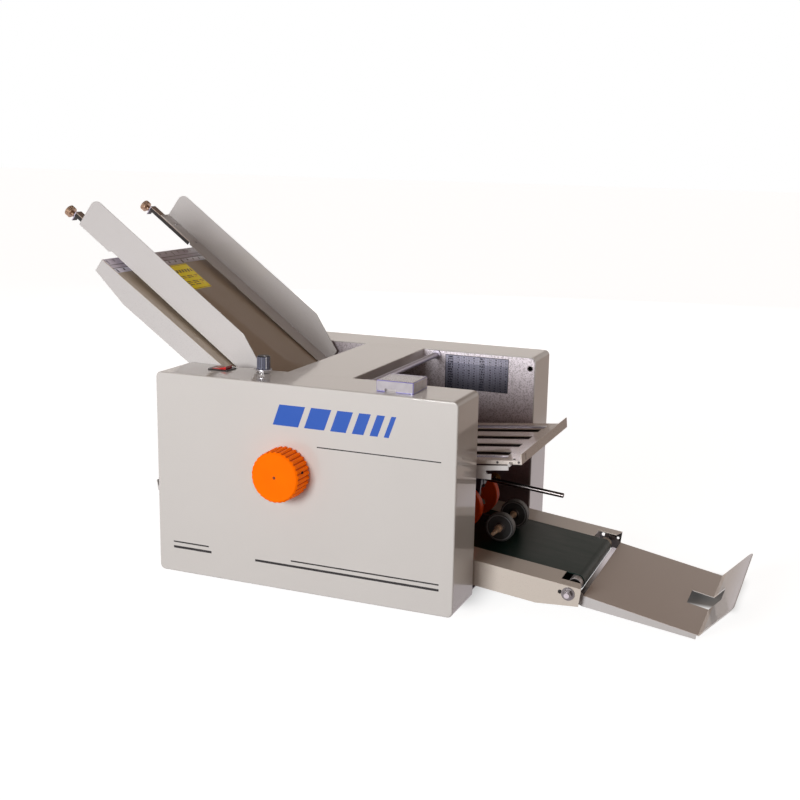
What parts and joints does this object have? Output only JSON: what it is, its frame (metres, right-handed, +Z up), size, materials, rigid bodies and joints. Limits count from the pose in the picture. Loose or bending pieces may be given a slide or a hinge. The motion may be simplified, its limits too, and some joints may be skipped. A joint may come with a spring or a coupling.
{
  "type": "paper folding machine",
  "caption": "Desk-top fold-plate paper folding machine with inclined feed tray, side guides, fold rollers, slotted fold plate, belt delivery and output tray.",
  "frame": {"origin": "middle of the machine's footprint, at the underside of the rubber feet", "axes": "+X from the feed tray to the output tray, +Y from the control side to the rear housing, +Z up"},
  "size_m": [1.1797, 0.542, 0.606],
  "materials": {
    "case_paint": "smooth gloss powder coat, warm off-white",
    "tray_paint": "fine textured warm beige powder coat",
    "zinc_plate": "bright zinc plating with a fine spangle",
    "bright_steel": "turned and ground steel",
    "chrome_rod": "polished chrome",
    "brass_shaft": "turned brass, lightly dulled",
    "nickel_knurl": "knurled, nickel plated",
    "bearing_bronze": "sintered bronze",
    "black_rubber": "matt black",
    "wheel_rubber": "black rubber with a worn grey tread",
    "roller_rubber": "dark grey, ground",
    "belt_green": "dark green conveyor belt",
    "drive_belt": "black toothed belt",
    "orange_plastic": "bright orange moulding",
    "orange_disc": "orange moulding",
    "switch_black": "black moulding",
    "rocker_red": "translucent red",
    "knob_grey": "dark grey fluted knob",
    "clear_lid": "clear acrylic",
    "counter_grey": "grey instrument moulding",
    "board_green": "circuit board",
    "motor_black": "black enamel",
    "inlet_black": "black socket moulding"
  },
  "bodies": {
    "machine": {"base_pan": "zinc_plate", "bearing_bushes": "bearing_bronze", "control_board": "board_green", "conveyor_belt": "belt_green", "conveyor_frame": "tray_paint", "counter_body": "counter_grey", "cross_tube": "bright_steel", "delivery_chute": "zinc_plate", "drive_belts": "drive_belt", "feed_tray": "tray_paint", "fold_plate_hooks": "tray_paint", "front_housing": "case_paint", "front_side_plate": "zinc_plate", "guide_rod": "chrome_rod", "idler_axle": "bright_steel", "motor": "motor_black", "motor_bracket": "zinc_plate", "output_tray": "tray_paint", "power_inlet": "inlet_black", "rear_housing": "case_paint", "rear_side_plate": "zinc_plate", "rod_block": "bright_steel", "rubber_feet": "black_rubber", "second_fold_plate": "tray_paint", "second_fold_plate_base": "tray_paint", "separator_holder": "zinc_plate", "separator_pad": "roller_rubber", "speed_pot": "bright_steel", "switch_bezel": "switch_black", "tie_rods": "bright_steel", "top_cover": "case_paint", "transfer_strip": "bright_steel", "upper_fold_plate": "tray_paint", "upper_fold_plate_base": "tray_paint"},
    "main_drive": {"main_roller": "roller_rubber", "hand_knob": "orange_plastic"},
    "upper_roller": {"upper_roller": "roller_rubber"},
    "middle_roller": {"middle_roller": "roller_rubber"},
    "exit_roller": {"exit_roller": "roller_rubber"},
    "motor_pinion": {"motor_pinion": "bright_steel"},
    "feed_drive": {"feed_shaft": "bright_steel", "feed_roller": "black_rubber"},
    "disc_drive": {"disc_shaft": "bright_steel", "delivery_discs": "orange_disc"},
    "belt_drive": {"belt_drive_roller": "bright_steel"},
    "belt_idler": {"belt_idler_roller": "black_rubber"},
    "carriage": {"press_carriage": "knob_grey"},
    "press_wheels": {"press_wheels": "wheel_rubber", "press_wheel_shaft": "brass_shaft"},
    "front_guide": {"front_paper_guide": "tray_paint", "front_clamp_bar": "zinc_plate"},
    "rear_guide": {"rear_paper_guide": "tray_paint", "rear_clamp_bar": "zinc_plate"},
    "front_screw": {"front_thumbscrew": "nickel_knurl"},
    "rear_screw": {"rear_thumbscrew": "nickel_knurl"},
    "upper_stop": {"upper_fold_stop": "bright_steel"},
    "lower_stop": {"lower_fold_stop": "bright_steel"},
    "rocker": {"power_rocker": "rocker_red"},
    "speed_knob": {"speed_knob": "knob_grey"},
    "counter_lid": {"counter_lid": "clear_lid"}
  },
  "joints": [
    {"name": "main_spin", "type": "hinge", "parent": "machine", "child": "main_drive", "pos_m": [-0.08205, 0.019, 0.2124], "axis": [0, 1, 0], "continuous": true},
    {"name": "upper_roller_spin", "type": "hinge", "parent": "machine", "child": "upper_roller", "pos_m": [-0.07315, 0.019, 0.24563], "axis": [0, 1, 0], "continuous": true},
    {"name": "middle_roller_spin", "type": "hinge", "parent": "machine", "child": "middle_roller", "pos_m": [-0.04966, 0.019, 0.2008], "axis": [0, 1, 0], "continuous": true},
    {"name": "exit_roller_spin", "type": "hinge", "parent": "machine", "child": "exit_roller", "pos_m": [-0.04655, 0.019, 0.16654], "axis": [0, 1, 0], "continuous": true},
    {"name": "pinion_spin", "type": "hinge", "parent": "machine", "child": "motor_pinion", "pos_m": [-0.10962, 0.185, 0.20236], "axis": [0, 1, 0], "continuous": true},
    {"name": "feed_spin", "type": "hinge", "parent": "machine", "child": "feed_drive", "pos_m": [-0.13555, 0.019, 0.3007], "axis": [0, 1, 0], "continuous": true},
    {"name": "disc_spin", "type": "hinge", "parent": "machine", "child": "disc_drive", "pos_m": [0.13095, 0.019, 0.1246], "axis": [0, 1, 0], "continuous": true},
    {"name": "belt_drive_spin", "type": "hinge", "parent": "machine", "child": "belt_drive", "pos_m": [0.10699, 0.019, 0.07672], "axis": [0, 1, 0], "continuous": true},
    {"name": "belt_idler_spin", "type": "hinge", "parent": "machine", "child": "belt_idler", "pos_m": [0.34748, 0.019, 0.04805], "axis": [0, 1, 0], "continuous": true},
    {"name": "carriage_slide", "type": "slide", "parent": "machine", "child": "carriage", "axis": [0.9954, 0, -0.0958], "range_m": [-0.008, 0.055]},
    {"name": "press_wheel_spin", "type": "hinge", "parent": "carriage", "child": "press_wheels", "pos_m": [0.20445, 0.015, 0.1027], "axis": [0, 1, 0], "continuous": true},
    {"name": "front_guide_slide", "type": "slide", "parent": "machine", "child": "front_guide", "axis": [0, 1, 0], "range_m": [-0.015, 0.085]},
    {"name": "rear_guide_slide", "type": "slide", "parent": "machine", "child": "rear_guide", "axis": [0, -1, 0], "range_m": [-0.005, 0.085]},
    {"name": "front_screw_turn", "type": "hinge", "parent": "front_guide", "child": "front_screw", "pos_m": [-0.5475, -0.0835, 0.56096], "axis": [0.8039, 0, -0.5948], "range_deg": [0, 360]},
    {"name": "rear_screw_turn", "type": "hinge", "parent": "rear_guide", "child": "rear_screw", "pos_m": [-0.5475, 0.146, 0.56096], "axis": [0.8039, 0, -0.5948], "range_deg": [0, 360]},
    {"name": "upper_stop_slide", "type": "slide", "parent": "machine", "child": "upper_stop", "axis": [0.9954, 0, 0.0958], "range_m": [-0.095, 0.12]},
    {"name": "lower_stop_slide", "type": "slide", "parent": "machine", "child": "lower_stop", "axis": [0.9863, 0, 0.165], "range_m": [-0.07, 0.14]},
    {"name": "power_rocker_tilt", "type": "hinge", "parent": "machine", "child": "rocker", "pos_m": [-0.23125, -0.1672, 0.349], "axis": [0, 1, 0], "range_deg": [0, 14]},
    {"name": "speed_knob_turn", "type": "hinge", "parent": "machine", "child": "speed_knob", "pos_m": [-0.15585, -0.166, 0.363], "axis": [0, 0, 1], "range_deg": [-150, 150]},
    {"name": "counter_lid_open", "type": "hinge", "parent": "machine", "child": "counter_lid", "pos_m": [0.08945, -0.153, 0.3517], "axis": [-1, 0, 0], "range_deg": [0, 90]}
  ],
  "couplings": [
    {"joint": "upper_roller_spin", "follows": "main_spin", "ratio": -1},
    {"joint": "middle_roller_spin", "follows": "main_spin", "ratio": -1},
    {"joint": "exit_roller_spin", "follows": "main_spin", "ratio": 1},
    {"joint": "pinion_spin", "follows": "main_spin", "ratio": -1.4167},
    {"joint": "feed_spin", "follows": "main_spin", "ratio": -0.71429},
    {"joint": "disc_spin", "follows": "main_spin", "ratio": -0.625},
    {"joint": "belt_drive_spin", "follows": "main_spin", "ratio": 1},
    {"joint": "belt_idler_spin", "follows": "main_spin", "ratio": 1},
    {"joint": "press_wheel_spin", "follows": "main_spin", "ratio": -0.5208}
  ]
}
